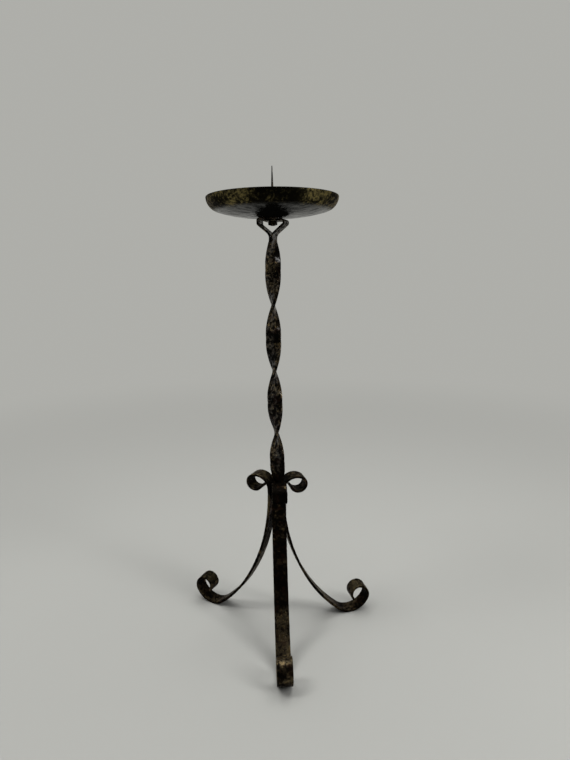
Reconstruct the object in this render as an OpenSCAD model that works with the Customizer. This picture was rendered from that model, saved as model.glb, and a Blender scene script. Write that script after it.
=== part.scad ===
// Wrought-iron torchere candle stand: two flat strips twisted into one stem, opened into a
// heart under a dished drip pan with a candle spike, on three scrolled strip legs.
// Millimetres, +Z up. The origin is on the stem's axis at floor level; -Y is the front.

/* [Stem] */
// Width of each of the two flat stem strips
strip_w = 16; // [10:0.5:22]
// Thickness of each stem strip
strip_t = 2; // [1.5:0.1:3]
// Scale gap between the two twisted strips
strip_gap = 0.1; // [0.05:0.05:0.5]
// Angle that the stem twists through, right-handed, from the hub to the neck
twist_angle = 688.5; // [180:0.5:1080]
// How much tighter than average the twist is at its lower end
twist_gain = 0.0475; // [0:0.0025:0.3]
// How far the head of the stem stands to the left of its foot
stem_lean = 1.8; // [0:0.1:6]
// How far the stem bows further to its left at mid height
stem_bow = 1.9; // [0:0.1:6]
// Length of the untwisted tail that the legs are welded to, below their straight run
stem_tail = 12; // [8:1:20]

/* [Heart] */
// Height of the pan's underside above the floor
pan_z = 456; // [330:1:600]
// Length of the untwisted neck below the point where the strips part
neck_h = 3; // [0.4:0.2:20]
// Half width of the heart over its outer faces
heart_half_w = 14.8; // [12:0.2:20]
// Slope of the heart's lower arms from the vertical
arm_slope = 51; // [40:1:60]
// Bend radius where the strips part
part_bend_r = 7; // [3:0.5:9]
// Bend radius of the heart's shoulders
shoulder_bend_r = 2; // [1.5:0.1:3]
// Length of the upright run between the two bends of the lower lapped shoulder
shoulder_rise = 0.4; // [0.2:0.1:8]
// Length of each lapped end past the spike's axis
lap_past = 8; // [6:0.5:12]

/* [Drip pan] */
// Sheet thickness of the pan
pan_t = 1.5; // [1:0.1:3]
// Radius of the pan's level centre, where a candle stands
pan_seat_r = 14; // [12:1:40]
// Bend radius of the pan's dished floor
pan_floor_r = 152; // [100:1:220]
// Angle that the dished floor rises through
pan_floor_a = 16; // [8:0.5:22]
// Bend radius of the pan's wall
pan_wall_r = 13; // [8:0.5:30]
// Lean of the wall outwards at the rim
pan_rim_lean = 2; // [0:1:30]

/* [Spike] */
// Height of the spike above its collar
spike_h = 45.5; // [25:0.5:80]
// Radius of the spike where it leaves the collar
spike_r = 2.2; // [1.5:0.1:4]
// Radius of the spike's blunted point
spike_tip_r = 0.4; // [0.2:0.1:1]
// Radius of the spike's collar
collar_r = 5; // [4:0.5:9]
// Thickness of the collar
collar_t = 2; // [1:0.5:5]
// Radius of the threaded shank below the collar
shank_r = 2.5; // [2:0.25:4]
// Radial clearance of the shank in the pan and the strips
hole_play = 0.25; // [0.1:0.05:0.6]
// Radial clearance of the shank in the nut, in place of a thread
thread_play = 0.05; // [0.05:0.05:0.2]
// Width of the nut across its flats
nut_af = 8; // [8:0.5:13]
// Height of the nut
nut_h = 3.5; // [3:0.5:7]
// Length of shank that shows below the nut
shank_end = 0.6; // [0.5:0.1:3]

/* [Legs] */
// Width of the leg strips
leg_w = 16; // [10:0.5:24]
// Thickness of the leg strips
leg_t = 3; // [2:0.25:5]
// Heading of the front leg from +X
leg_front_az = -88; // [-100:0.1:-80]
// Heading of the right leg from +X; the stem's tail lies flat on this leg
leg_right_az = 13.3; // [5:0.1:35]
// Heading of the left leg from +X
leg_left_az = 152.7; // [140:0.1:165]
// Length of the legs' straight run at the hub
leg_run = 3.4; // [2:0.2:12]
// Bend radius of the leg's long upper sweep
thigh_r = 218; // [150:1:280]
// Angle of the upper sweep
thigh_a = 32; // [20:0.2:40]
// Bend radius of the leg's lower sweep
shin_r = 166; // [100:1:200]
// Angle of the lower sweep
shin_a = 18.4; // [12:0.2:30]
// Bend radius where the leg turns level with the floor
instep_r = 21.2; // [20:1:50]
// Bend radius where the foot leaves the floor
sole_r = 23.8; // [18:0.2:32]
// Angle of that turn
sole_a = 62; // [45:1:75]
// Bend radius of the toe, which turns the foot back over itself
toe_r = 12.3; // [11:0.1:18]
// Angle of the toe's turn
toe_a = 93; // [75:1:110]
// Bend radius of the foot's curled end
foot_curl_r = 9.3; // [7:0.1:11]
// Angle of the curled end
foot_curl_a = 160; // [100:1:200]
// Bend radius where the leg's top turns outwards
horn_r = 15.1; // [13:0.1:20]
// Angle of that turn
horn_a = 123; // [90:1:140]
// Bend radius of the top's curl
horn_curl_r = 8; // [7:0.1:10]
// Angle of the top's curl
horn_curl_a = 120; // [60:1:150]
// Bend radius of the top's tip
horn_tip_r = 9.5; // [5:0.1:12]
// Angle of the tip
horn_tip_a = 92; // [30:1:100]

/* [Welds] */
// Radius of the weld beads that join the legs to the stem
bead_r = 1.6; // [1:0.1:2.2]

/* [Hidden] */
IRON = "#33302a";
PATINA = "#6b5a36";
DARK_STEEL = "#3d3a34";
BEAD = "#4a463e";
BEND_STEP = 8;      // degrees between points on a tight bend
SWEEP_STEP = 2.5;   // degrees between points on a long sweep
TWIST_STEP = 2;     // height between the rings of a twisted strip
CUT_PAST = 1;       // how far a bore's cutter runs past each face
SETTLE_PASSES = 16; // steps in which a weld bead finds its place
ROUND = 64;

// ---- flat paths: each point is [x, z, heading], each move is [radius, angle, step] or [length] ----
function point_after(p, r, a) = let (s = sign(a), h = p[2])
    [p[0] + s * r * (sin(h + a) - sin(h)), p[1] - s * r * (cos(h + a) - cos(h)), h + a];
function run_of(p, length) = [[p[0] + length * cos(p[2]), p[1] + length * sin(p[2]), p[2]]];
function bend_of(p, r, a, step) = let (n = ceil(abs(a) / step))
    [for (i = [1 : n]) point_after(p, r, a * i / n)];
function move_of(p, m) = len(m) == 1 ? run_of(p, m[0]) : bend_of(p, m[0], m[1], m[2]);
function path_of(p, moves, i = 0) = i == len(moves) ? [p] :
    let (more = move_of(p, moves[i]))
    concat([p], [for (k = [0 : 1 : len(more) - 2]) more[k]],
           path_of(more[len(more) - 1], moves, i + 1));
function side_of(path, d) = [for (p = path) [p[0] - d * sin(p[2]), p[1] + d * cos(p[2])]];
function reversed(list) = [for (i = [len(list) - 1 : -1 : 0]) list[i]];
function outline_of(path, t) = concat(side_of(path, -t / 2), reversed(side_of(path, t / 2)));
function unlike(path) = [for (i = [0 : len(path) - 1])
    if (i == 0 || norm([path[i][0] - path[i - 1][0], path[i][1] - path[i - 1][1]]) > 0.001) path[i]];

// ---- legs ----
instep_a = 90 - thigh_a - shin_a;
leg_down = [[leg_run], [thigh_r, thigh_a, SWEEP_STEP], [shin_r, shin_a, SWEEP_STEP],
            [instep_r, instep_a, BEND_STEP], [sole_r, sole_a, BEND_STEP],
            [toe_r, toe_a, BEND_STEP], [foot_curl_r, foot_curl_a, BEND_STEP]];
leg_up = [[horn_r, -horn_a, BEND_STEP], [horn_curl_r, -horn_curl_a, BEND_STEP],
          [horn_tip_r, -horn_tip_a, BEND_STEP]];
// Height of the bottom of the leg's straight run, with the foot on the floor
hub_z = leg_t / 2 + thigh_r * sin(thigh_a) + shin_r * (sin(thigh_a + shin_a) - sin(thigh_a))
      + instep_r * (1 - sin(thigh_a + shin_a));
horn_z = hub_z + leg_run;
function turned(path) = [for (p = reversed(path)) [p[0], p[1], p[2] + 180]];
leg_path = unlike(concat(turned(path_of([0, horn_z, 90], leg_up)),
                         path_of([0, horn_z, -90], leg_down)));

// The stem's tail is a flat bar of both strips, square to the right leg
bar_t = 2 * strip_t + strip_gap;
tail_az = leg_right_az + 90;
function bar_reach(az) = strip_w / 2 * abs(cos(az - tail_az)) + bar_t / 2 * abs(sin(az - tail_az));
function leg_off(az) = bar_reach(az) + leg_t / 2;

module leg(az) {
    color(IRON)
        rotate([0, 0, az])
            translate([leg_off(az), 0, 0])
                rotate([90, 0, 0])
                    linear_extrude(leg_w, center = true)
                        polygon(outline_of(leg_path, leg_t));
}
module leg_front() { leg(leg_front_az); }
module leg_right() { leg(leg_right_az); }
module leg_left() { leg(leg_left_az); }

// ---- weld beads: a face is [heading, distance from the stem's axis, half width] ----
weld_drop = stem_tail - 2;
weld_low_z = hub_z - weld_drop;
weld_h = horn_z - weld_low_z;
// How far a leg's face has swung out from its straight run at the beads' lower end
leg_swing = thigh_r - sqrt(pow(thigh_r, 2) - pow(weld_drop, 2));
front_leg_face = [leg_front_az, bar_reach(leg_front_az), leg_w / 2];
left_leg_face = [leg_left_az, bar_reach(leg_left_az), leg_w / 2];
right_leg_face = [leg_right_az, bar_t / 2 + leg_t + leg_swing, leg_w / 2];
tail_side_face = [leg_right_az + 180, bar_t / 2, strip_w / 2];
tail_edge_face = [tail_az, strip_w / 2, bar_t / 2];
function meet(a1, d1, a2, d2) = let (s = sin(a2 - a1))
    [(d1 * sin(a2) - d2 * sin(a1)) / s, (d2 * cos(a1) - d1 * cos(a2)) / s];
// A bead stands its radius off a face, and less where it reaches past the face's edge
function past_edge(p, face) = max(0, abs(p[1] * cos(face[0]) - p[0] * sin(face[0])) - face[2]);
function stand_off(p, face) = sqrt(max(0, pow(bead_r, 2) - pow(past_edge(p, face), 2)));
function nearer(p, leg, seat) =
    meet(leg[0], leg[1] - stand_off(p, leg), seat[0], seat[1] + stand_off(p, seat));
function settled(p, leg, seat, passes) = passes == 0 ? p :
    settled((p + nearer(p, leg, seat)) / 2, leg, seat, passes - 1);
// The bead lies between a leg's inner face and a seat, and touches both
module bead(leg, seat) {
    spot = settled(nearer([0, 0], leg, seat), leg, seat, SETTLE_PASSES);
    color(BEAD)
        translate(concat(spot, weld_low_z))
            cylinder(r = bead_r, h = weld_h, $fn = ROUND);
}
module weld_front_inner() { bead(front_leg_face, tail_side_face); }
module weld_front_outer() { bead(front_leg_face, right_leg_face); }
module weld_left_inner() { bead(left_leg_face, tail_side_face); }
module weld_left_outer() { bead(left_leg_face, tail_edge_face); }

// ---- stem: each strip is swept along one route, as rings of [centre, across, through] ----
strip_off = (strip_t + strip_gap) / 2;
// The heart's arms bend out from the neck, in to the upright shoulders, then over into the lap
shoulder_u = heart_half_w - strip_t / 2;
arm_bends = part_bend_r + shoulder_bend_r;
arm_l = (shoulder_u - strip_off - arm_bends * (1 - cos(arm_slope))) / sin(arm_slope);
heart_h = arm_bends * sin(arm_slope) + arm_l * cos(arm_slope) + shoulder_rise + shoulder_bend_r
        + strip_t * 3 / 2;
part_z = pan_z - heart_h;
neck_z = part_z - neck_h;
tail_z = hub_z - stem_tail;
twist_z = horn_z + strip_w / 4;
neck_az = tail_az + twist_angle;
function twist_at(z) = let (s = min(1, max(0, (z - twist_z) / (neck_z - twist_z))))
    tail_az + twist_angle * (s + twist_gain * s * (1 - s));
twist_n = ceil((neck_z - twist_z) / TWIST_STEP);
stem_zs = concat([tail_z], [for (i = [0 : twist_n]) twist_z + (neck_z - twist_z) * i / twist_n]);

// An arm of the heart in its own plane, from the parting point to its end; lap 1 lies under lap 0
function arm_path(lap) = path_of([strip_off, part_z, 90],
    [[part_bend_r, -arm_slope, BEND_STEP], [arm_l], [shoulder_bend_r, arm_slope, BEND_STEP],
     [shoulder_rise + (1 - lap) * strip_t], [shoulder_bend_r, 90, BEND_STEP],
     [shoulder_u - shoulder_bend_r + lap_past]]);

// The stem's axis leans and bows to the left between the hub and the heart
function lean_at(z) = let (s = min(1, max(0, (z - twist_z) / (part_z - twist_z))))
    stem_lean * s + stem_bow * sin(180 * s);
function flat(az) = [cos(az), sin(az), 0];
// Rings of a strip: [centre, direction across its width, direction through its thickness]
function stem_rings(side) = [for (z = stem_zs) let (az = twist_at(z), through = flat(az - 90))
    [side * strip_off * through + [0, 0, z], flat(az), through]];
function arm_rings(side, lap) = let (out = side * flat(neck_az - 90))
    [for (p = unlike(arm_path(lap)))
        [p[0] * out + [0, 0, p[1]], flat(neck_az), side * (out * sin(p[2]) - [0, 0, cos(p[2])])]];
CORNERS = [[-1, -1], [0, -1], [1, -1], [1, 1], [0, 1], [-1, 1]];
function ring_points(r) = [for (c = CORNERS)
    r[0] - [lean_at(r[0][2]), 0, 0] + c[0] * strip_w / 2 * r[1] + c[1] * strip_t / 2 * r[2]];
// Both broad faces are split along the same diagonal, so that the two strips lie together
function wall_of(a, b, up, split_back) = split_back ? [[a, a + up, b], [a + up, b + up, b]]
                                                    : [[a, a + up, b + up], [a, b + up, b]];

module swept(rings) {
    m = len(CORNERS);
    top = m * (len(rings) - 1);
    walls = [for (i = [0 : len(rings) - 2], k = [0 : m - 1])
        each wall_of(m * i + k, m * i + (k + 1) % m, m, k == 3 || k == 4)];
    ends = [for (k = [1 : m - 2]) each [[0, k, k + 1], [top, top + k + 1, top + k]]];
    polyhedron([for (r = rings) each ring_points(r)], concat(walls, ends), convexity = 8);
}

module stem_strip(side, lap) {
    color(IRON)
        difference() {
            swept(concat(stem_rings(side), arm_rings(side, lap)));
            translate([-stem_lean, 0, part_z + heart_h / 2])
                cylinder(r = shank_r + hole_play, h = heart_h, $fn = ROUND);
        }
}
module stem_strip_left() { stem_strip(-1, 0); }
module stem_strip_right() { stem_strip(1, 1); }

// ---- drip pan, spike and nut ----
pan_path = path_of([shank_r + hole_play, pan_z + pan_t / 2, 0],
    [[pan_seat_r - shank_r - hole_play], [pan_floor_r, pan_floor_a, SWEEP_STEP * 2],
     [pan_wall_r, 90 - pan_floor_a - pan_rim_lean, BEND_STEP]]);
rim = pan_path[len(pan_path) - 1];
module drip_pan() {
    color(PATINA)
        translate([-stem_lean, 0, 0])
            rotate_extrude($fn = ROUND * 2)
                union() {
                    polygon(outline_of(unlike(pan_path), pan_t));
                    translate([rim[0], rim[1]])
                        circle(d = pan_t, $fn = ROUND);
                }
}

nut_z = pan_z - 2 * strip_t - nut_h;
// Length of the shank, up to the collar that seats on the pan
collar_h = shank_end + nut_h + 2 * strip_t + pan_t;
module spike() {
    color(DARK_STEEL)
        translate([-stem_lean, 0, nut_z - shank_end]) {
            cylinder(r = shank_r, h = collar_h, $fn = ROUND);
            translate([0, 0, collar_h])
                cylinder(r = collar_r, h = collar_t, $fn = ROUND);
            translate([0, 0, collar_h + collar_t])
                cylinder(r1 = spike_r, r2 = spike_tip_r, h = spike_h, $fn = ROUND);
        }
}
module pan_nut() {
    color(DARK_STEEL)
        translate([-stem_lean, 0, nut_z])
            difference() {
                cylinder(d = nut_af / cos(30), h = nut_h, $fn = 6);
                translate([0, 0, -CUT_PAST])
                    cylinder(r = shank_r + thread_play, h = nut_h + 2 * CUT_PAST, $fn = ROUND);
            }
}

stem_strip_left();
stem_strip_right();
drip_pan();
spike();
pan_nut();
leg_front();
leg_right();
leg_left();
weld_front_inner();
weld_front_outer();
weld_left_inner();
weld_left_outer();
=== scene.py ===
"""Looks of a wrought-iron torchere candle stand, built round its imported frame.

Each piece is modelled in millimetres on the same routes as its solid. Worn edges, hammer marks, lumps and
the thread only take metal away, and the pan's dents only press its sheet up and inwards, so nothing grows
past the frame's box.
"""

import math
import random

import bmesh
import bpy
import numpy as np
from mathutils import Matrix, Vector, noise


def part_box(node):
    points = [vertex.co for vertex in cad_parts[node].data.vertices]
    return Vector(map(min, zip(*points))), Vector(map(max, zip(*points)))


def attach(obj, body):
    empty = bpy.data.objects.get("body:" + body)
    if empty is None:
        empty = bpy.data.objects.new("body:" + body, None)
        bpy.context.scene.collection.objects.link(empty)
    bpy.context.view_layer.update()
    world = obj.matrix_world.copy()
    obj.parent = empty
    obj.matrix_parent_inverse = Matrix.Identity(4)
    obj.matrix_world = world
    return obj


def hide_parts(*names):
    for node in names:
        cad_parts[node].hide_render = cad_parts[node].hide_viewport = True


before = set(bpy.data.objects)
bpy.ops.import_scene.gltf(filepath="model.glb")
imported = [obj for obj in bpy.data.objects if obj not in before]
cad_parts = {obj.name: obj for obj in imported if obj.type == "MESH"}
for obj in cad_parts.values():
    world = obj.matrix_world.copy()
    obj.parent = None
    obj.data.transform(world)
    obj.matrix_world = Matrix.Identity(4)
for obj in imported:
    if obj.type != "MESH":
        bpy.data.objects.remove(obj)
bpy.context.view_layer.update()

MM = 0.001

# ---- driving dimensions, in millimetres and degrees, the same as the solids' ----
# Stem: two flat strips, twisted together
STRIP_W = 16
STRIP_T = 2
STRIP_GAP = 0.1         # between the two strips
TWIST_ANGLE = 688.5     # right-handed, from the hub to the neck
TWIST_GAIN = 0.0475     # share by which the twist is tighter than average at its lower end
STEM_LEAN = 1.8         # how far the stem's head stands to the left of its foot
STEM_BOW = 1.9          # how far the stem bows further to its left at mid height
STEM_TAIL = 12          # how far the strips reach below the legs' straight run

# Heart: the strips part, bow out, and lap over each other under the pan
PAN_Z = 456             # height of the pan's underside
NECK_H = 3              # untwisted length below the point where the strips part
HEART_HALF_W = 14.8     # to its outside
ARM_SLOPE = 51          # of the lower arms from the vertical
PART_BEND_R = 7         # where the strips part
SHOULDER_BEND_R = 2     # where each arm turns upright and then inwards
SHOULDER_RISE = 0.4     # upright run between the two bends of the lower lapped shoulder
LAP_PAST = 8            # length of each lapped end past the spike's axis

# Drip pan
PAN_T = 1.5
PAN_SEAT_R = 14         # the pan's level centre
PAN_FLOOR = (152, 16)   # radius and angle of its dished floor
PAN_WALL_R = 13         # of the bend from the floor up into the wall
PAN_RIM_LEAN = 2        # of the wall outwards at the rim

# Spike, shank and nut
SPIKE_H = 45.5
SPIKE_R = 2.2
SPIKE_TIP_R = 0.4       # of its blunted point
COLLAR_R = 5
COLLAR_T = 2
SHANK_R = 2.5
SHANK_END = 0.6         # length of shank that shows below the nut
HOLE_PLAY = 0.25        # round the shank, in the pan and the strips
THREAD_PLAY = 0.05      # round the shank, in the nut
NUT_AF = 8              # across its flats
NUT_H = 3.5

# Legs: each bend is its radius and angle
LEG_W = 16
LEG_T = 3
LEG_HEADINGS = {"front": -88, "right": 13.3, "left": 152.7}
LEG_RUN = 3.4           # straight run at the hub
THIGH = (218, 32)       # the bends from the hub down
SHIN = (166, 18.4)
INSTEP_R = 21.2
SOLE = (23.8, 62)
TOE = (12.3, 93)
FOOT_CURL = (9.3, 160)
HORN = (15.1, -123)     # the bends from the hub up
HORN_CURL = (8, -120)
HORN_TIP = (9.5, -92)

BEAD_R = 1.6            # of the weld beads

# ---- how finely the pieces are meshed ----
RING_STEP = 0.6         # between the rings of a bar
FACE_STEPS = 18         # across a bar's broad face
SIDE_STEPS = 3          # across its narrow side
CORNER_STEPS = 4        # round a worn edge
SHEET_STEP = 0.9        # between the pan's rings
PAN_TURN_STEPS = 384    # round the pan
RIM_STEPS = 10          # over its rim
TURN_STEPS = 96         # round the spike, the nut and the drill
SPIKE_RINGS = 70
COLLAR_RINGS = 4
THREAD_RINGS = 10       # in each turn of the thread
BEAD_TURN_STEPS = 40
BEAD_RINGS = 150

# ---- forging and wear; where a size varies, its least and most are given ----
LEG_EDGE_R = 0.55       # radius that forging and wear left on an edge
STRIP_EDGE_R = 0.4
WEAR_REACH = 1.8        # how far an edge's rubbed band reaches onto the faces
END_INSET = 0.95        # how nearly the rounding of a bar's end meets in its corners
EDGE_WAVE = 11          # length of the waves in a bar's edges
EDGE_DEPTH = 0.14
LUMP_SIZE = 2.6         # of the scale and pits on a bar
LUMP_DEPTH = 0.06
MARK_OFF = 6.5          # how far from a bar's middle line a hammer mark lies, at most
MARK_R = (4, 7.5)
MARK_DEPTH = (0.05, 0.17)
MARK_STEP = (1.8, 4.2)  # from one hammer mark to the next
FIRST_MARK = 3          # how far from a bar's end the first one lies, at most
LEG_SEED, STRIP_SEED, PAN_SEED = 11, 21, 31

# The pan's dents lie in rings
DENT_RINGS = ((22, 12), (31, 17), (40, 22), (49, 27), (57, 31), (63, 34))  # radius and count of each
DENT_STRAY = 0.3        # how far a dent strays round its ring, in steps of the ring
DENT_R = (5.5, 8)
DENT_DEPTH = (0.07, 0.2)
DENT_FREE = 1           # the level centre and this much round it have no dents
DENT_FADE = 6           # over which the dents then reach their depth
WALL_FOOT = 5           # height over the pan's underside where the dents start to press inwards
WALL_TURN = 9           # over which they stop pressing up
WALL_PRESS = 0.5        # share of their depth on the wall

# The spike's thread and filing
THREAD_PITCH = 0.8
THREAD_DEPTH = 0.4
GROOVE_SHARE = 0.8      # of the pitch
THREAD_FADE = (0.5, 0.8)  # at the lower and the upper end
COLLAR_EDGE_R = 0.35
TIP_TURN = (20, 80)     # headings of the outward normal round the spike's blunted point
FILED_SIZE = 3.5
FILED_DEPTH = 0.04      # share of the radius
TOUCH = 0.01            # slack in comparing two radii

# The nut's chamfers
CHAMFER_R = NUT_AF / 2 * 0.97  # of the flat that each chamfer leaves
CHAMFER_A = 28
BORE_LIP = 0.25
NUT_EDGE = (0.02, 0.3)  # how far below its chamfer an edge's rubbed band starts and ends

# The ripples and lumps of a weld bead; their depths are shares of its radius
RIPPLE_STEP = 1.5
RIPPLE_DEPTH = 0.11
RIPPLE_TILT = 0.2       # how far one side of a ring stands over its middle
BEAD_LUMP_SIZE = 1.8
BEAD_LUMP_DEPTH = 0.14
BEAD_END = 0.02         # the square of the share of its radius that a bead keeps at its ends


def sind(a):
    return math.sin(math.radians(a))


def cosd(a):
    return math.cos(math.radians(a))


def flat(az):
    """The level direction of a heading from +X."""
    return np.array([cosd(az), sind(az), 0.0])


UP = np.array([0.0, 0.0, 1.0])

# ---- places that follow from the dimensions ----
THIGH_END = THIGH[1] + SHIN[1]
HUB_Z = (LEG_T / 2 + THIGH[0] * sind(THIGH[1]) + SHIN[0] * (sind(THIGH_END) - sind(THIGH[1]))
         + INSTEP_R * (1 - sind(THIGH_END)))
HORN_Z = HUB_Z + LEG_RUN
BAR_T = 2 * STRIP_T + STRIP_GAP
TAIL_AZ = LEG_HEADINGS["right"] + 90
STRIP_OFF = (STRIP_T + STRIP_GAP) / 2
SHOULDER_U = HEART_HALF_W - STRIP_T / 2
ARM_BENDS = PART_BEND_R + SHOULDER_BEND_R
ARM_L = (SHOULDER_U - STRIP_OFF - ARM_BENDS * (1 - cosd(ARM_SLOPE))) / sind(ARM_SLOPE)
HEART_H = (ARM_BENDS * sind(ARM_SLOPE) + ARM_L * cosd(ARM_SLOPE) + SHOULDER_RISE + SHOULDER_BEND_R
           + STRIP_T * 3 / 2)
PART_Z = PAN_Z - HEART_H
NECK_Z = PART_Z - NECK_H
TAIL_Z = HUB_Z - STEM_TAIL
TWIST_Z = HORN_Z + STRIP_W / 4
NECK_AZ = TAIL_AZ + TWIST_ANGLE
NUT_Z = PAN_Z - 2 * STRIP_T - NUT_H
SEAT_Z = PAN_Z + PAN_T
AXIS_TOP = np.array([-STEM_LEAN, 0.0, 0.0])

# ---- where the patina, the painted shade and the painted light change, in millimetres ----
# A place, and the distances from it between which its effect fades
TOE_AT, TOE_REACH = (0, -95, 20), (18, 70)             # the front foot is rubbed browner
# Painted shade over the front of the hub and the top of the front leg
HUB_SHADE_AT, HUB_SHADE_REACH = (0, -28, HUB_Z - 8), (24, 48)
TAN_PATCH_AT, TAN_PATCH_REACH = (-12, -2, HUB_Z - 14), (5, 10)   # a tan patch on the left leg beside the hub
TAN_PATCH_SCALE = (1, 1, 0.55)                              # and the patch is taller than wide
FRONT_SHADE_AT, FRONT_SHADE_REACH = (0, -66, PAN_Z + 12), (16, 32)  # painted shade on the front of the pan's wall
# A painted shadow and reflection of the stem's head on the pan's underside
PAN_SHADOW_AT, PAN_SHADOW_REACH = (-STEM_LEAN, -26, PAN_Z), (14, 29)
PAN_SHADOW_SCALE = (1, 0.55, 1)                          # and it reaches further to the front and back
PAN_SHADOW_RAGGED = 3     # how far the painted shadow's edge wanders
ACROSS = (1, 0, 0)      # counts only how far to the left or right a point is
SIDE_REACH = (9, 14)    # from the stem's plane to the side scrolls and feet
# The heights between which an effect grows
STEM_RISE = (HORN_Z, HORN_Z + 40)
WAX_RISE = (HORN_Z + 18, HORN_Z + 36)
CURL_RISE = (14, 26)    # from the soles of the feet to their curls
WALL_RISE = (PAN_Z + 6.5, PAN_Z + 10)
WALL_RAGGED = 3         # how far the wall's lower edge wanders

# ---- colours ----
BLACK = (0.003, 0.0024, 0.0018)
UMBER = (0.013, 0.0096, 0.006)
OLIVE = (0.042, 0.033, 0.02)
BRONZE = (0.1, 0.074, 0.037)
GILT = (0.3, 0.215, 0.095)
RUST = (0.022, 0.0095, 0.0055)
DUST = (0.042, 0.039, 0.021)
WALL_DARK = (0.008, 0.0068, 0.0038)
MOSS = (0.02, 0.0168, 0.0075)
KHAKI = (0.06, 0.05, 0.021)
OCHRE = (0.145, 0.114, 0.042)
BRASS = (0.3, 0.24, 0.08)
# The painted shade on the front of the pan's wall
SHADE_BLACK = (0.0005, 0.0005, 0.0004)
# The painted shadow and reflection round the stem's head under the pan
SHADOW_BLACK = (0.003, 0.003, 0.0026)
DIM_INSIDE = (0.003, 0.0026, 0.002)
DARK_SATIN = (0.004, 0.004, 0.0035)
GREY_SATIN = (0.028, 0.028, 0.025)
EDGE_TINT = (0.35, 0.3, 0.22)    # of the reflections
WAX_ROUGHNESS = 0.2
# On the stem the iron's colours are lifted by painted light
STEM_TONE = (-0.025, 0.045)  # how much further up its colours the iron is, on the legs and on the stem

# ---- stage and light, in metres and watts ----
BACKDROP = (0.425, 0.425, 0.4)
FLOOR = (0.374, 0.375, 0.353)
FLOOR_ROUGHNESS = 0.7
FLOOR_SHINE = 0.15
FLOOR_REACH = 6.0
FLOOR_FADE = (0.25, 1.5)    # where it starts to fade into the backdrop, and where it is gone
AMBIENT = (0.33, 0.33, 0.33)
ROOM_AXIS = (-0.6, 0.8, 0)  # towards the room's bright side
ROOM_TURN = (-0.6, 0.4)     # along the axis, from its dim part to its bright part
ROOM_DIM = 0.03             # the dim part's share of the light
LAMPS = (
    # name, place, what it faces, size and power
    ("overhead", (0.1, 0.25, 1.9), (0, 0, 0.2), (1.7, 1.5), 28),
    ("right side", (1.1, -0.75, 1.35), (0, 0, 0.3), (0.5, 0.8), 10.5),
    ("low window", (1.15, -0.78, 0.8), (0, 0, 0.4), (0.14, 0.28), 3.2),
    ("left side", (-0.95, -0.25, 1.6), (0, 0, 0.1), (0.45, 0.6), 10),
)

# ---- the camera, found from the outlines of the legs, stem and pan; in pixels, degrees and mm ----
PHOTO_H = 760
FOCAL_PX = 516.65
PITCH, ROLL, PAN = 11.69, -0.65, 0.92
CAMERA_AT = (0.03, -540.32, 401.3)
SENSOR = 36


# ---- routes: a point is x, z and heading; a move is (length,) or (radius, angle) ----
def walk(start, moves, step):
    """Points along straight runs and bends, no more than a step apart."""
    route = [start]
    for move in moves:
        x, z, heading = route[-1]
        if len(move) == 1:
            count = math.ceil(move[0] / step)
            for d in np.linspace(0, move[0], count + 1)[1:]:
                route.append((x + d * cosd(heading), z + d * sind(heading), heading))
        else:
            radius, angle = move
            count = math.ceil(radius * math.radians(abs(angle)) / step)
            side = math.copysign(radius, angle)
            for h in np.linspace(heading, heading + angle, count + 1)[1:]:
                route.append((x + side * (sind(h) - sind(heading)),
                              z - side * (cosd(h) - cosd(heading)), h))
    return route


def smooth(t):
    """Rises from 0 to 1 as t does, with smooth ends."""
    t = np.clip(t, 0, 1)
    return t * t * (3 - 2 * t)


def bumps(points, size, octaves=2):
    """Smooth noise from 0 to 1 at each point, with features of that size in millimetres."""
    places = np.asarray(points).reshape(-1, 3) / size
    # Each octave is half as large and half as strong as the one before
    values = [noise.fractal(Vector(p), 1.0, 2.0, octaves) for p in places]
    return np.clip(0.5 + 0.5 * np.array(values), 0, 1).reshape(np.shape(points)[:-1])


# ---- meshes ----
def make_piece(name, points, faces, wear, node, material):
    """A mesh object from points in millimetres, which rides on the stand and stands for a node."""
    mesh = bpy.data.meshes.new(name)
    mesh.from_pydata((np.asarray(points) * MM).tolist(), [], faces)
    mesh.validate()
    rubbed = mesh.attributes.new("wear", "FLOAT", "POINT")
    rubbed.data.foreach_set("value", np.asarray(wear, np.float32))
    shaped = bmesh.new()
    shaped.from_mesh(mesh)
    bmesh.ops.recalc_face_normals(shaped, faces=shaped.faces)
    shaped.to_mesh(mesh)
    shaped.free()
    mesh.polygons.foreach_set("use_smooth", [True] * len(mesh.polygons))
    piece = bpy.data.objects.new(name, mesh)
    bpy.context.scene.collection.objects.link(piece)
    mesh.materials.append(material)
    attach(piece, "root")
    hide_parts(node)
    return piece


def loft_faces(rings, around, closed_ends):
    """Quads between neighbouring rings of points, with a face over each end or from last to first."""
    faces = []
    for i in range(rings - 1 if closed_ends else rings):
        a, b = i * around, (i + 1) % rings * around
        for k in range(around):
            n = (k + 1) % around
            faces.append((a + k, a + n, b + n, b + k))
    if closed_ends:
        faces.append(tuple(range(around - 1, -1, -1)))
        faces.append(tuple(range((rings - 1) * around, rings * around)))
    return faces


# ---- flat bars: a ring is its centre, its direction across and its direction through ----
def bar_section(width, thickness, edge_r):
    """Points round a flat bar's rounded section, with the outward normal of each."""
    points, normals = [], []
    for quarter, (a, b) in enumerate(((1, 1), (-1, 1), (-1, -1), (1, -1))):
        middle = np.array([a * (width / 2 - edge_r), b * (thickness / 2 - edge_r)])
        for turn in np.linspace(quarter * 90, quarter * 90 + 90, CORNER_STEPS + 1):
            normal = np.array([cosd(turn), sind(turn)])
            points.append(middle + edge_r * normal)
            normals.append(normal)
        # Each corner is followed by a broad face or a narrow side in turn
        if quarter % 2 == 0:
            length, steps = width - 2 * edge_r, FACE_STEPS
        else:
            length, steps = thickness - 2 * edge_r, SIDE_STEPS
        last = points[-1]
        for t in np.linspace(0, length, steps + 1)[1:-1]:
            points.append(last + t * np.array([-normal[1], normal[0]]))
            normals.append(normal)
    return np.array(points), np.array(normals)


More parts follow.
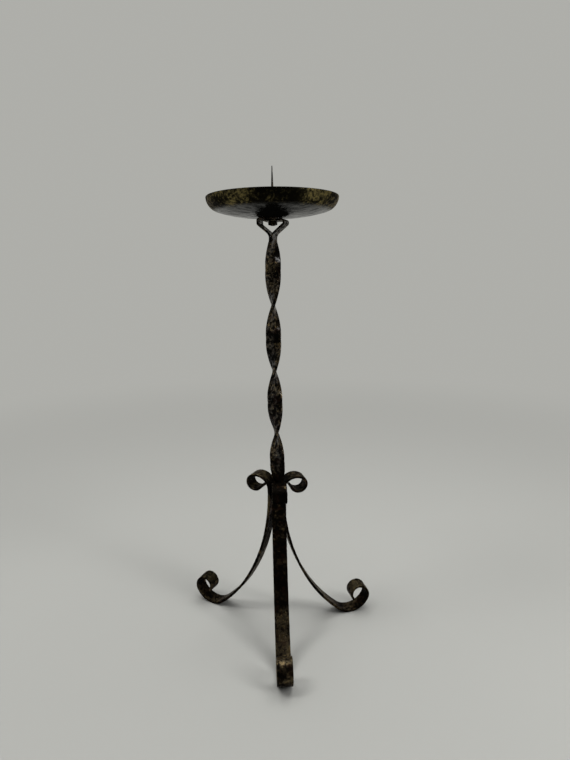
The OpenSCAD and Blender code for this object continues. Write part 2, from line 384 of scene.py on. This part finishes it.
def hammer_marks(along, section, normals, seed):
    """How deep the hammer's face bit at each point of a bar: shallow round dents on both broad faces."""
    chance = random.Random(seed)
    bite = np.zeros((len(along), len(section)))
    for face in (1, -1):
        on_face = np.clip(normals[:, 1] * face, 0, 1)
        s = chance.uniform(0, FIRST_MARK)
        while s < along[-1]:
            across = chance.uniform(-MARK_OFF, MARK_OFF)
            radius = chance.uniform(*MARK_R)
            depth = chance.uniform(*MARK_DEPTH)
            off = ((along[:, None] - s) ** 2 + (section[None, :, 0] - across) ** 2) / radius ** 2
            bite = np.maximum(bite, depth * (1 - off) * on_face)
            s += chance.uniform(*MARK_STEP)
    return bite


def rounded_ends(rings, edge_r):
    """The rings again, closer together at both ends, with how far each is inset to round the ends."""
    rings = np.array(rings)
    steps = np.linalg.norm(np.diff(rings[:, 0], axis=0), axis=1)
    along = np.concatenate([[0], np.cumsum(steps)])
    end = along[-1]
    near = edge_r * (1 - np.cos(np.linspace(0, math.pi / 2, CORNER_STEPS + 1)))
    places = np.concatenate([near, along[(along > edge_r) & (along < end - edge_r)], end - near[::-1]])
    parts = [[np.interp(places, along, rings[:, i, j]) for j in range(3)] for i in range(3)]
    missing = np.clip(edge_r - np.minimum(places, end - places), 0, edge_r)
    inset = END_INSET * (edge_r - np.sqrt(edge_r ** 2 - missing ** 2))
    return places, np.array(parts).transpose(2, 0, 1), inset


def edge_waves(along, seed):
    """How each of a bar's two edges wanders along it, from -1 to 1."""
    return np.array([[noise.noise(Vector((s / EDGE_WAVE, seed, side))) for side in (-1, 1)]
                     for s in along])


def forged_bar(name, rings, width, thickness, edge_r, seed, node, material):
    """A hammered flat bar along the rings, with waving edges, worn corners and rounded ends."""
    section, normals = bar_section(width, thickness, edge_r)
    along, rings, inset = rounded_ends(rings, edge_r)
    centres, across, through = (rings[:, None, i] for i in range(3))
    outward = normals[:, :1] * across + normals[:, 1:] * through
    points = centres + section[:, :1] * across + section[:, 1:] * through
    waves = edge_waves(along, seed)
    waves = np.where(section[:, 0] < 0, waves[:, :1], waves[:, 1:])
    taken = hammer_marks(along, section, normals, seed) + inset[:, None]
    taken += EDGE_DEPTH * (0.5 + 0.5 * waves) * normals[:, 0] ** 2
    taken += LUMP_DEPTH * bumps(points, LUMP_SIZE, 3)
    points -= taken[..., None] * outward

    from_edge = np.linalg.norm(np.abs(section) - np.array([width, thickness]) / 2, axis=1)
    wear = np.tile(np.clip(1 - from_edge / WEAR_REACH, 0, 1), len(along))
    faces = loft_faces(len(along), len(section), True)
    return make_piece(name, points.reshape(-1, 3), faces, wear, node, material)


def bar_reach(az):
    """How far the stem's flat tail reaches from its axis, along a heading."""
    return STRIP_W / 2 * abs(cosd(az - TAIL_AZ)) + BAR_T / 2 * abs(sind(az - TAIL_AZ))


def leg_rings(az):
    """Rings along a leg, from the tip of its scroll down to the end of its foot's curl."""
    up = walk((0, HORN_Z, 90), (HORN, HORN_CURL, HORN_TIP), RING_STEP)
    instep = (INSTEP_R, 90 - THIGH_END)
    down = walk((0, HORN_Z, -90), ((LEG_RUN,), THIGH, SHIN, instep, SOLE, TOE, FOOT_CURL), RING_STEP)
    route = [(x, z, h + 180) for x, z, h in reversed(up)] + down[1:]
    out = flat(az)
    foot = out * (bar_reach(az) + LEG_T / 2)
    return [(foot + out * x + UP * z, flat(az + 90), UP * cosd(h) - out * sind(h)) for x, z, h in route]


def twist_at(z):
    """The heading of the strips' width at a height."""
    s = np.clip((z - TWIST_Z) / (NECK_Z - TWIST_Z), 0, 1)
    return TAIL_AZ + TWIST_ANGLE * (s + TWIST_GAIN * s * (1 - s))


def lean_at(z):
    """How far the stem's middle stands off its axis at a height."""
    s = np.clip((z - TWIST_Z) / (PART_Z - TWIST_Z), 0, 1)
    return np.array([-STEM_LEAN * s - STEM_BOW * sind(180 * s), 0, 0])


def strip_rings(side, lap):
    """Rings up a stem strip: its tail, its twist, its half of the heart and its lapped end."""
    rings = []
    for z in np.linspace(TAIL_Z, PART_Z, math.ceil((PART_Z - TAIL_Z) / RING_STEP) + 1)[:-1]:
        az = twist_at(z)
        through = flat(az - 90)
        rings.append((side * STRIP_OFF * through + UP * z + lean_at(z), flat(az), through))
    out = side * flat(NECK_AZ - 90)
    arm = walk((STRIP_OFF, PART_Z, 90),
               ((PART_BEND_R, -ARM_SLOPE), (ARM_L,), (SHOULDER_BEND_R, ARM_SLOPE),
                (SHOULDER_RISE + (1 - lap) * STRIP_T,), (SHOULDER_BEND_R, 90),
                (SHOULDER_U - SHOULDER_BEND_R + LAP_PAST,)), RING_STEP / 2)
    for u, z, h in arm:
        rings.append((out * u + UP * z + lean_at(z), flat(NECK_AZ), side * (out * sind(h) - UP * cosd(h))))
    return rings


def drill(piece, radius, low, high):
    """Cuts the spike's hole through a piece."""
    tool = bmesh.new()
    middle = AXIS_TOP + UP * (low + high) / 2
    bmesh.ops.create_cone(tool, cap_ends=True, segments=TURN_STEPS, radius1=radius * MM,
                          radius2=radius * MM, depth=(high - low) * MM,
                          matrix=Matrix.Translation(middle * MM))
    mesh = bpy.data.meshes.new("drill")
    tool.to_mesh(mesh)
    tool.free()
    bit = bpy.data.objects.new("drill", mesh)
    bpy.context.scene.collection.objects.link(bit)
    cut = piece.modifiers.new("spike hole", "BOOLEAN")
    cut.operation, cut.solver, cut.object = "DIFFERENCE", "EXACT", bit
    bpy.context.view_layer.update()
    drilled = bpy.data.meshes.new_from_object(piece.evaluated_get(bpy.context.evaluated_depsgraph_get()))
    piece.modifiers.remove(cut)
    piece.data = drilled
    bpy.data.objects.remove(bit)
    bpy.data.meshes.remove(mesh)


# ---- turned pieces: a profile is (radius, height, wear) points, from the outside round or end to end ----
def round_axis(radii, turns, heights):
    """Points round +Z, at turns in radians."""
    return np.stack([radii * np.cos(turns), radii * np.sin(turns), heights], axis=1)


def turned(name, profile, steps, closed_ends, shape, node, material):
    """A profile turned about the spike's axis; shape(radius, height, turn) may move each point."""
    turns = np.linspace(0, 2 * math.pi, steps, endpoint=False)
    points, wear = [], []
    for r, z, w in profile:
        radii, heights = shape(np.full(steps, float(r)), np.full(steps, float(z)), turns)
        points.append(round_axis(radii, turns, heights) + AXIS_TOP)
        wear.append(np.full(steps, float(w)))
    faces = loft_faces(len(profile), steps, closed_ends)
    return make_piece(name, np.concatenate(points), faces, np.concatenate(wear), node, material)


def pan_profile():
    """Up the pan's underside from its hole, round the rim and back down the inside."""
    floor_r, floor_a = PAN_FLOOR
    route = walk((SHANK_R + HOLE_PLAY, PAN_Z + PAN_T / 2, 0),
                 ((PAN_SEAT_R - SHANK_R - HOLE_PLAY,), (floor_r, floor_a),
                  (PAN_WALL_R, 90 - floor_a - PAN_RIM_LEAN)), SHEET_STEP)
    half = PAN_T / 2
    under = [(r + half * sind(h), z - half * cosd(h), 0) for r, z, h in route]
    inside = [(r - half * sind(h), z + half * cosd(h), 0) for r, z, h in reversed(route)]
    r, z, h = route[-1]
    rim = [(r + half * cosd(h - 90 + t), z + half * sind(h - 90 + t), 1)
           for t in np.linspace(0, 180, RIM_STEPS + 1)[1:-1]]
    return under + rim + inside


def pan_dents():
    """Where the hammer met the pan, how wide and how deep."""
    chance = random.Random(PAN_SEED)
    dents = []
    for radius, count in DENT_RINGS:
        for k in range(count):
            turn = 2 * math.pi * (k + chance.uniform(-DENT_STRAY, DENT_STRAY)) / count
            dents.append((radius * math.cos(turn), radius * math.sin(turn), chance.uniform(*DENT_R),
                          chance.uniform(*DENT_DEPTH)))
    return dents


DENTS = pan_dents()


def beaten(radii, heights, turns):
    """Hammer marks pressed into the pan from outside, which show on both of its faces."""
    x, y = radii * np.cos(turns), radii * np.sin(turns)
    press = np.zeros_like(radii)
    for dent_x, dent_y, size, depth in DENTS:
        press = np.maximum(press, depth * (1 - ((x - dent_x) ** 2 + (y - dent_y) ** 2) / size ** 2))
    press *= smooth((radii - PAN_SEAT_R - DENT_FREE) / DENT_FADE)
    steepness = smooth((heights - PAN_Z - WALL_FOOT) / WALL_TURN)
    return radii - WALL_PRESS * press * steepness, heights + press * (1 - steepness)


def threaded(radii, heights, turns):
    """Cuts the shank's helical thread, and leaves the rest of the spike slightly hand-filed."""
    in_shank = (radii <= SHANK_R + TOUCH) & (heights < PAN_Z)
    phase = (heights / THREAD_PITCH - turns / (2 * math.pi)) % 1
    groove = THREAD_DEPTH * (1 - np.abs(2 * phase - 1) / GROOVE_SHARE).clip(0, 1)
    low_fade, high_fade = THREAD_FADE
    fade = smooth((heights - NUT_Z + SHANK_END) / low_fade) * smooth((PAN_Z - heights) / high_fade)
    lumps = bumps(round_axis(radii, turns, heights), FILED_SIZE)
    filed = FILED_DEPTH * radii * lumps * (heights > SEAT_Z)
    return radii - np.where(in_shank, groove * fade, filed), heights


def corner(r, z, size, start, end):
    """A turned piece's rounded corner, from one heading of its outward normal to another."""
    return [(r + size * cosd(t), z + size * sind(t), 1) for t in np.linspace(start, end, CORNER_STEPS + 1)]


def spike_profile():
    """From the shank's lower end up its thread, round the collar and up to the point."""
    low, top = NUT_Z - SHANK_END, SEAT_Z + COLLAR_T
    taper = (SPIKE_R - SPIKE_TIP_R) / SPIKE_H
    rim = COLLAR_R - COLLAR_EDGE_R
    thread = np.arange(low + THREAD_DEPTH, SEAT_Z, THREAD_PITCH / THREAD_RINGS)
    across_collar = np.linspace(rim - COLLAR_EDGE_R, SPIKE_R + COLLAR_EDGE_R, COLLAR_RINGS)
    up_spike = np.linspace(0, SPIKE_H - SPIKE_TIP_R, SPIKE_RINGS)
    profile = [(SHANK_R - THREAD_DEPTH, low, 1)]
    profile += [(SHANK_R, z, 0.3) for z in thread]
    profile += [(SHANK_R, SEAT_Z, 0)]
    profile += corner(rim, SEAT_Z + COLLAR_EDGE_R, COLLAR_EDGE_R, -90, 0)
    profile += corner(rim, top - COLLAR_EDGE_R, COLLAR_EDGE_R, 0, 90)
    profile += [(r, top, 0.2) for r in across_collar]
    profile += [(SPIKE_R - taper * h, top + h, 0.35) for h in up_spike]
    profile += corner(0, top + SPIKE_H - SPIKE_TIP_R, SPIKE_TIP_R, *TIP_TURN)
    return profile


def hex_nut(material):
    """A chamfered hexagon nut, as rings from the bore's upper lip round the outside to its lower lip."""
    turns = np.linspace(0, 360, TURN_STEPS, endpoint=False)
    outside = NUT_AF / 2 / np.cos(np.radians(turns % 60 - 30))
    chamfered = np.minimum(outside, CHAMFER_R)
    bevel = (outside - chamfered) * math.tan(math.radians(CHAMFER_A))
    bore = np.full(len(turns), SHANK_R + THREAD_PLAY)
    level = np.zeros(len(turns))
    # Each ring is its radii, how far it lies in from the nut's top or bottom, and its wear
    half = [(bore, level + BORE_LIP, 0.3), (bore + BORE_LIP, level, 0.8), (chamfered, level, 0.6),
            (outside, bevel + NUT_EDGE[0], 1), (outside, bevel + NUT_EDGE[1], 0.15)]
    rings = [(r, NUT_Z + NUT_H - depth, w) for r, depth, w in half]
    rings += [(r, NUT_Z + depth, w) for r, depth, w in reversed(half)]
    points = [round_axis(r, np.radians(turns), z) + AXIS_TOP for r, z, _ in rings]
    wear = np.repeat([w for _, _, w in rings], len(turns))
    faces = loft_faces(len(rings), len(turns), False)
    return make_piece("hex_nut", np.concatenate(points), faces, wear, "pan_nut", material)


def weld_bead(name, node, seed, material):
    """A rippled bead with domed ends, in the corner that its solid fills."""
    low, high = (np.array(end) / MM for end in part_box(node))
    x, y, _ = (low + high) / 2
    turns = np.linspace(0, 2 * math.pi, BEAD_TURN_STEPS, endpoint=False)
    tilt = RIPPLE_TILT * np.sin(turns + seed)
    points = []
    for z in np.linspace(low[2], high[2], BEAD_RINGS):
        from_end = min(z - low[2], high[2] - z)
        dome = math.sqrt(max(BEAD_END, 1 - (1 - min(1, from_end / BEAD_R)) ** 2))
        ripple = RIPPLE_DEPTH * abs(math.sin((z - low[2]) / RIPPLE_STEP * math.pi + seed))
        ring = np.stack([np.cos(turns), np.sin(turns), tilt * min(1, from_end)], axis=1)
        lump = BEAD_LUMP_DEPTH * bumps(ring * BEAD_R + UP * z + seed, BEAD_LUMP_SIZE)
        ring[:, :2] *= (BEAD_R * dome * (1 - ripple - lump))[:, None]
        points.append(ring + np.array([x, y, z]))
    faces = loft_faces(len(points), len(turns), True)
    wear = np.full(len(points) * len(turns), 0.3)
    return make_piece(name, np.concatenate(points), faces, wear, node, material)


# ---- materials ----
class Nodes:
    """A tree of shader nodes, added and linked by short calls."""

    def __init__(self, tree):
        self.tree = tree

    def add(self, kind, **settings):
        node = self.tree.nodes.new("ShaderNode" + kind)
        for key, value in settings.items():
            setattr(node, key, value)
        return node

    def put(self, socket, value):
        """Links a socket to a node's output, or sets it to a number, a vector or a colour."""
        if isinstance(value, bpy.types.NodeSocket):
            self.tree.links.new(value, socket)
        elif socket.type == "RGBA":
            socket.default_value = (*value, 1)
        else:
            socket.default_value = value

    def math(self, operation, a, b):
        node = self.add("Math", operation=operation)
        self.put(node.inputs[0], a)
        self.put(node.inputs[1], b)
        return node.outputs[0]

    def chain(self, operation, first, *others):
        for other in others:
            first = self.math(operation, first, other)
        return first

    def total(self, *values):
        return self.chain("ADD", *values)

    def product(self, *values):
        return self.chain("MULTIPLY", *values)

    def spread(self, value, low, high, to_low=0.0, to_high=1.0):
        """Maps low..high to to_low..to_high, with smooth ends."""
        node = self.add("MapRange", interpolation_type="SMOOTHSTEP")
        for key, setting in (("Value", value), ("From Min", low), ("From Max", high),
                             ("To Min", to_low), ("To Max", to_high)):
            self.put(node.inputs[key], setting)
        return node.outputs["Result"]

    def ramp(self, value, stops):
        node = self.add("ValToRGB")
        self.put(node.inputs["Fac"], value)
        elements = node.color_ramp.elements
        while len(elements) < len(stops):
            elements.new(0.5)
        for element, (position, colour) in zip(elements, stops):
            element.position = position
            element.color = (*colour, 1)
        return node.outputs["Color"]

    def mix(self, amount, a, b):
        """A colour between a and b; sockets 6, 7 and output 2 are the Mix node's colours."""
        node = self.add("Mix", data_type="RGBA")
        for index, value in ((0, amount), (6, a), (7, b)):
            self.put(node.inputs[index], value)
        return node.outputs[2]

    def blend(self, amount, a, b):
        """A number between a and b."""
        return self.total(self.product(a, self.math("SUBTRACT", 1.0, amount)), self.product(b, amount))

    def vector_math(self, operation, a, b=(0, 0, 0)):
        """The vector or the number that a vector operation gives."""
        node = self.add("VectorMath", operation=operation)
        self.put(node.inputs[0], a)
        self.put(node.inputs[1], b)
        return node.outputs["Vector" if operation == "MULTIPLY" else "Value"]

    def part_of(self, vector, axis):
        node = self.add("SeparateXYZ")
        self.put(node.inputs[0], vector)
        return node.outputs[axis]

    def seen_directly_or_in_gloss(self):
        """1 for the camera's rays and for reflections, otherwise 0."""
        rays = self.add("LightPath")
        return self.math("MAXIMUM", rays.outputs["Is Camera Ray"], rays.outputs["Is Glossy Ray"])


class Surface(Nodes):
    """A material's nodes, with the places and normals of the surface; sizes are in millimetres."""

    def __init__(self, name):
        self.material = bpy.data.materials.new(name)
        self.material.use_nodes = True
        super().__init__(self.material.node_tree)
        self.shader = self.tree.nodes["Principled BSDF"]
        coordinates = self.add("TexCoord")
        self.place, self.normal = coordinates.outputs["Object"], coordinates.outputs["Normal"]

    def noise(self, size, detail, roughness, distortion=0.0, stretch=(1, 1, 1)):
        """Noise whose blotches have that size, drawn out by a scale along each axis."""
        node = self.add("TexNoise")
        for key, value in (("Vector", self.vector_math("MULTIPLY", self.place, stretch)),
                           ("Scale", 1 / (size * MM)), ("Detail", detail),
                           ("Roughness", roughness), ("Distortion", distortion)):
            self.put(node.inputs[key], value)
        return node.outputs["Fac"]

    def distance(self, place, scale=(1, 1, 1)):
        """How far the surface is from a place, by a scale along each axis."""
        scaled = self.vector_math("MULTIPLY", self.place, scale)
        centre = [c * MM * k for c, k in zip(place, scale)]
        return self.math("DIVIDE", self.vector_math("DISTANCE", scaled, centre), MM)

    def by_height(self, low, high, to_low=0.0, to_high=1.0):
        """Spreads the surface's height."""
        return self.spread(self.part_of(self.place, "Z"), low * MM, high * MM, to_low, to_high)

    def by_tilt(self, low, high, to_low=0.0, to_high=1.0):
        """Spreads how far the surface faces up, from 0 where it is upright to 1 where it is level."""
        return self.spread(self.part_of(self.normal, "Z"), low, high, to_low, to_high)

    def worn(self):
        return self.add("Attribute", attribute_name="wear").outputs["Fac"]

    def bump(self, height, depth):
        """Relief of that depth."""
        node = self.add("Bump")
        self.put(node.inputs["Distance"], depth * MM)
        self.put(node.inputs["Height"], height)
        self.put(self.shader.inputs["Normal"], node.outputs["Normal"])

    def finish(self, colour, metallic, roughness, shine, wax=0.0):
        for key, value in (("Base Color", colour), ("Metallic", metallic), ("Roughness", roughness),
                           ("Specular IOR Level", shine), ("Specular Tint", EDGE_TINT),
                           ("Coat Weight", wax), ("Coat Roughness", WAX_ROUGHNESS)):
            self.put(self.shader.inputs[key], value)
        return self.material


def patina(name, patch, blotch, gilt, rough, relief):
    """Blackened iron with a brown mottle, rubbed edges, dust and gilt flecks, and with wax on the stem."""
    g = Surface(name)
    patches = g.noise(patch, 3, 0.5, 0.4)
    mottle = g.noise(blotch, 5, 0.6, 0.4)
    grain = g.noise(0.6, 3, 0.6)

    # How far up its colours the iron is, from black to bronze
    uneven = g.product(g.math("SUBTRACT", patches, 0.5), 0.8)
    rubbed = g.product(g.worn(), g.spread(mottle, 0.42, 0.62, 0.0, 0.07))
    on_top = g.by_tilt(0.2, 0.95, -0.035, 0.015)
    # Painted light: the stem's colours are lifted above the legs'
    stem = g.by_height(*STEM_RISE, *STEM_TONE)
    toe = g.spread(g.distance(TOE_AT), *TOE_REACH, 0.085, 0.0)
    # Painted shade darkens the front of the hub and the top of the front leg
    hub_shade = g.spread(g.distance(HUB_SHADE_AT), *HUB_SHADE_REACH, -0.11, 0.0)
    tan_patch = g.spread(g.distance(TAN_PATCH_AT, TAN_PATCH_SCALE), *TAN_PATCH_REACH, 0.3, 0.0)
    tone = g.total(mottle, uneven, rubbed, on_top, stem, toe, hub_shade, tan_patch)
    colour = g.ramp(tone, ((0.45, BLACK), (0.54, UMBER), (0.65, OLIVE), (0.8, BRONZE)))
    rust = g.spread(g.noise(blotch * 2, 4, 0.6, 0.3), 0.52, 0.66, 0.0, 0.45)
    colour = g.mix(rust, colour, RUST)

    # Dust lies on top of the side scrolls and of the curls of the side feet
    at_side = g.spread(g.distance((0, 0, 0), ACROSS), *SIDE_REACH)
    dust = g.product(g.by_tilt(0.1, 0.8, 0.0, 0.45), at_side, g.by_height(*CURL_RISE, 0.1, 1.0),
                     g.spread(mottle, 0.4, 0.58, 0.2, 1.0))
    colour = g.mix(dust, colour, DUST)

    # The stem's flecks are twice as strong as the legs'
    flecks = g.product(g.spread(g.noise(blotch * 0.7, 5, 0.65, 0.2), 0.52, 0.66),
                       g.spread(tone, 0.5, 0.62), g.spread(stem, *STEM_TONE, gilt, gilt * 2))
    colour = g.mix(flecks, colour, GILT)
    metallic = g.spread(flecks, 0, 1, 0.7, 0.9)
    roughness = g.total(g.spread(mottle, 0.38, 0.62, rough + 0.14, rough - 0.18),
                        g.spread(grain, 0.3, 0.7, -0.05, 0.05))
    shine = g.spread(tone, 0.48, 0.7, 0.03, 0.4)
    wax = g.product(g.spread(g.noise(7, 2, 0.5, 0.3), 0.42, 0.6, 0.3, 0.8),
                    g.by_height(*WAX_RISE, 0.02, 1.0), g.spread(mottle, 0.45, 0.58, 0.06, 1.0))
    g.bump(g.total(g.product(mottle, 0.7), g.product(grain, 0.3)), relief)
    return g.finish(colour, metallic, roughness, shine, wax)


def black_iron():
    return patina("black iron", patch=26, blotch=3.4, gilt=0.3, rough=0.38, relief=0.3)


def dark_steel():
    return patina("dark steel", patch=9, blotch=1.6, gilt=0.2, rough=0.38, relief=0.08)


def weld_metal():
    return patina("weld metal", patch=7, blotch=1.3, gilt=0.15, rough=0.5, relief=0.14)


def patinated_sheet():
    """The pan: a satin grey underside with faint streaks; its wall and inside black with gilt flecks."""
    g = Surface("patinated sheet")
    patches = g.noise(15, 3, 0.5, 0.5)
    mottle = g.noise(2.6, 5, 0.6, 0.4)
    grain = g.noise(0.7, 3, 0.6)
    streaks = g.noise(5, 6, 0.7, 1.2, stretch=(0.3, 1, 1))

    # The wall and the inside, against the underside
    inside = g.by_tilt(0, 0.3)
    height = g.total(g.part_of(g.place, "Z"), g.product(mottle, WALL_RAGGED * MM))
    on_wall = g.math("MAXIMUM", g.spread(height, *(z * MM for z in WALL_RISE)), inside)
    # Painted shade darkens the front of the wall, and a painted shadow and reflection darken the sheet
    # round the stem's head
    unshaded = g.spread(g.distance(FRONT_SHADE_AT), *FRONT_SHADE_REACH)
    ragged = g.spread(mottle, 0.35, 0.65, -PAN_SHADOW_RAGGED, PAN_SHADOW_RAGGED)
    unshadowed = g.spread(g.total(g.distance(PAN_SHADOW_AT, PAN_SHADOW_SCALE), ragged), *PAN_SHADOW_REACH)

    # Painted shadow and reflection darken the underside round the stem's head
    satin = g.mix(unshadowed, SHADOW_BLACK, g.ramp(streaks, ((0.42, DARK_SATIN), (0.6, GREY_SATIN))))
    uneven = g.product(g.math("SUBTRACT", patches, 0.5), 0.9)
    # Painted shade lowers the colours of the wall's front and turns it nearly black
    tone = g.math("SUBTRACT", g.total(mottle, uneven), g.spread(unshaded, 0, 1, 0.14, -0.02))
    wall = g.ramp(tone, ((0.38, WALL_DARK), (0.48, MOSS), (0.57, KHAKI), (0.7, OCHRE)))
    wall = g.mix(g.spread(unshaded, 0, 1, 0.35, 1.0), SHADE_BLACK, wall)
    wall = g.mix(g.spread(inside, 0, 1, 0.0, 0.8), wall, DIM_INSIDE)
    flecks = g.product(g.spread(g.noise(1.2, 5, 0.6), 0.5, 0.64), g.spread(tone, 0.46, 0.6), on_wall,
                       g.spread(unshaded, 0, 1, 0.15, 0.45), g.spread(inside, 0, 1, 1.0, 0.15))
    colour = g.mix(flecks, g.mix(on_wall, satin, wall), BRASS)

    metallic = g.product(on_wall, g.spread(flecks, 0, 1, 0.6, 0.9))
    roughness = g.blend(on_wall, g.spread(streaks, 0.4, 0.62, 0.24, 0.12),
                        g.spread(mottle, 0.35, 0.65, 0.5, 0.34))
    shine = g.blend(on_wall, g.product(g.spread(streaks, 0.42, 0.58, 0.03, 0.22), unshadowed),
                    g.spread(tone, 0.45, 0.64, 0.04, 0.4))
    g.bump(g.total(g.product(mottle, g.spread(on_wall, 0, 1, 0.12, 0.8)), g.product(grain, 0.1),
                   g.product(streaks, 0.2)), 0.16)
    return g.finish(colour, metallic, roughness, shine)


# ---- the stand ----
def build_stand():
    iron, sheet, steel, weld = black_iron(), patinated_sheet(), dark_steel(), weld_metal()
    for i, (which, az) in enumerate(LEG_HEADINGS.items()):
        forged_bar("forged_leg_" + which, leg_rings(az), LEG_W, LEG_T, LEG_EDGE_R, LEG_SEED + i,
                   "leg_" + which, iron)
    for lap, (which, side) in enumerate((("left", -1), ("right", 1))):
        strip = forged_bar("twisted_strip_" + which, strip_rings(side, lap), STRIP_W, STRIP_T,
                           STRIP_EDGE_R, STRIP_SEED + lap, "stem_strip_" + which, iron)
        drill(strip, SHANK_R + HOLE_PLAY, NUT_Z, SEAT_Z)
    turned("beaten_pan", pan_profile(), PAN_TURN_STEPS, False, beaten,
           "drip_pan", sheet)
    turned("pricket", spike_profile(), TURN_STEPS, True, threaded, "spike", steel)
    hex_nut(steel)
    for i, which in enumerate(("front_inner", "front_outer", "left_inner", "left_outer")):
        weld_bead("bead_" + which, "weld_" + which, i, weld)


# ---- stage, light and camera ----
def lay_floor():
    """A pale floor that fades into the backdrop far away, so that no horizon shows behind the stand."""
    mesh = bpy.data.meshes.new("floor")
    r = FLOOR_REACH
    mesh.from_pydata([(-r, -r, 0), (r, -r, 0), (r, r, 0), (-r, r, 0)], [], [(0, 1, 2, 3)])
    floor = bpy.data.objects.new("floor", mesh)
    bpy.context.scene.collection.objects.link(floor)
    g = Surface("pale floor")
    g.put(g.shader.inputs["Base Color"], FLOOR)
    g.put(g.shader.inputs["Roughness"], FLOOR_ROUGHNESS)
    g.put(g.shader.inputs["Specular IOR Level"], FLOOR_SHINE)
    glow = g.add("Emission")
    g.put(glow.inputs["Color"], BACKDROP)
    far = g.spread(g.vector_math("LENGTH", g.place), *FLOOR_FADE)
    faded = g.add("MixShader")
    for socket, value in zip(faded.inputs, (g.product(far, g.seen_directly_or_in_gloss()),
                                            g.shader.outputs[0], glow.outputs[0])):
        g.put(socket, value)
    g.put(g.tree.nodes["Material Output"].inputs["Surface"], faded.outputs[0])
    mesh.materials.append(g.material)


def softbox(name, place, target, size, watts):
    """A rectangular lamp that faces its target."""
    lamp = bpy.data.lights.new(name, "AREA")
    lamp.shape = "RECTANGLE"
    lamp.size, lamp.size_y = size
    lamp.energy = watts
    box = bpy.data.objects.new(name, lamp)
    bpy.context.scene.collection.objects.link(box)
    box.location = place
    box.rotation_euler = (Vector(target) - Vector(place)).to_track_quat("-Z", "Y").to_euler()


def light_room():
    """The lamps, and a room that is dim in front of the stand and to its right, and bright elsewhere."""
    for lamp in LAMPS:
        softbox(*lamp)
    world = bpy.data.worlds.new("room")
    world.use_nodes = True
    bpy.context.scene.world = world
    g = Nodes(world.node_tree)
    along = g.vector_math("DOT_PRODUCT", g.add("TexCoord").outputs["Generated"], ROOM_AXIS)
    level = g.spread(along, *ROOM_TURN, ROOM_DIM, 1.0)
    # The camera sees the plain backdrop on every side
    strength = g.math("MAXIMUM", level, g.add("LightPath").outputs["Is Camera Ray"])
    air = g.tree.nodes["Background"]
    g.put(air.inputs["Color"], g.mix(g.seen_directly_or_in_gloss(), AMBIENT, BACKDROP))
    g.put(air.inputs["Strength"], strength)


def set_camera():
    """The photo's viewpoint; the photo's height is its longer side, which the sensor's width covers."""
    ahead = np.array([sind(PAN) * cosd(PITCH), cosd(PAN) * cosd(PITCH), -sind(PITCH)])
    level = np.array([cosd(PAN), -sind(PAN), 0.0])
    upright = np.cross(level, ahead)
    right = level * cosd(ROLL) + upright * sind(ROLL)
    above = upright * cosd(ROLL) - level * sind(ROLL)
    lens = bpy.data.cameras.new("photo view")
    lens.sensor_width = SENSOR
    lens.lens = FOCAL_PX * SENSOR / PHOTO_H
    camera = bpy.data.objects.new("photo view", lens)
    bpy.context.scene.collection.objects.link(camera)
    turn = Matrix((right, above, -ahead)).transposed().to_4x4()
    camera.matrix_world = Matrix.Translation(Vector(CAMERA_AT) * MM) @ turn
    bpy.context.scene.camera = camera


set_camera()
build_stand()
lay_floor()
light_room()
bpy.context.scene.view_settings.view_transform = "Standard"
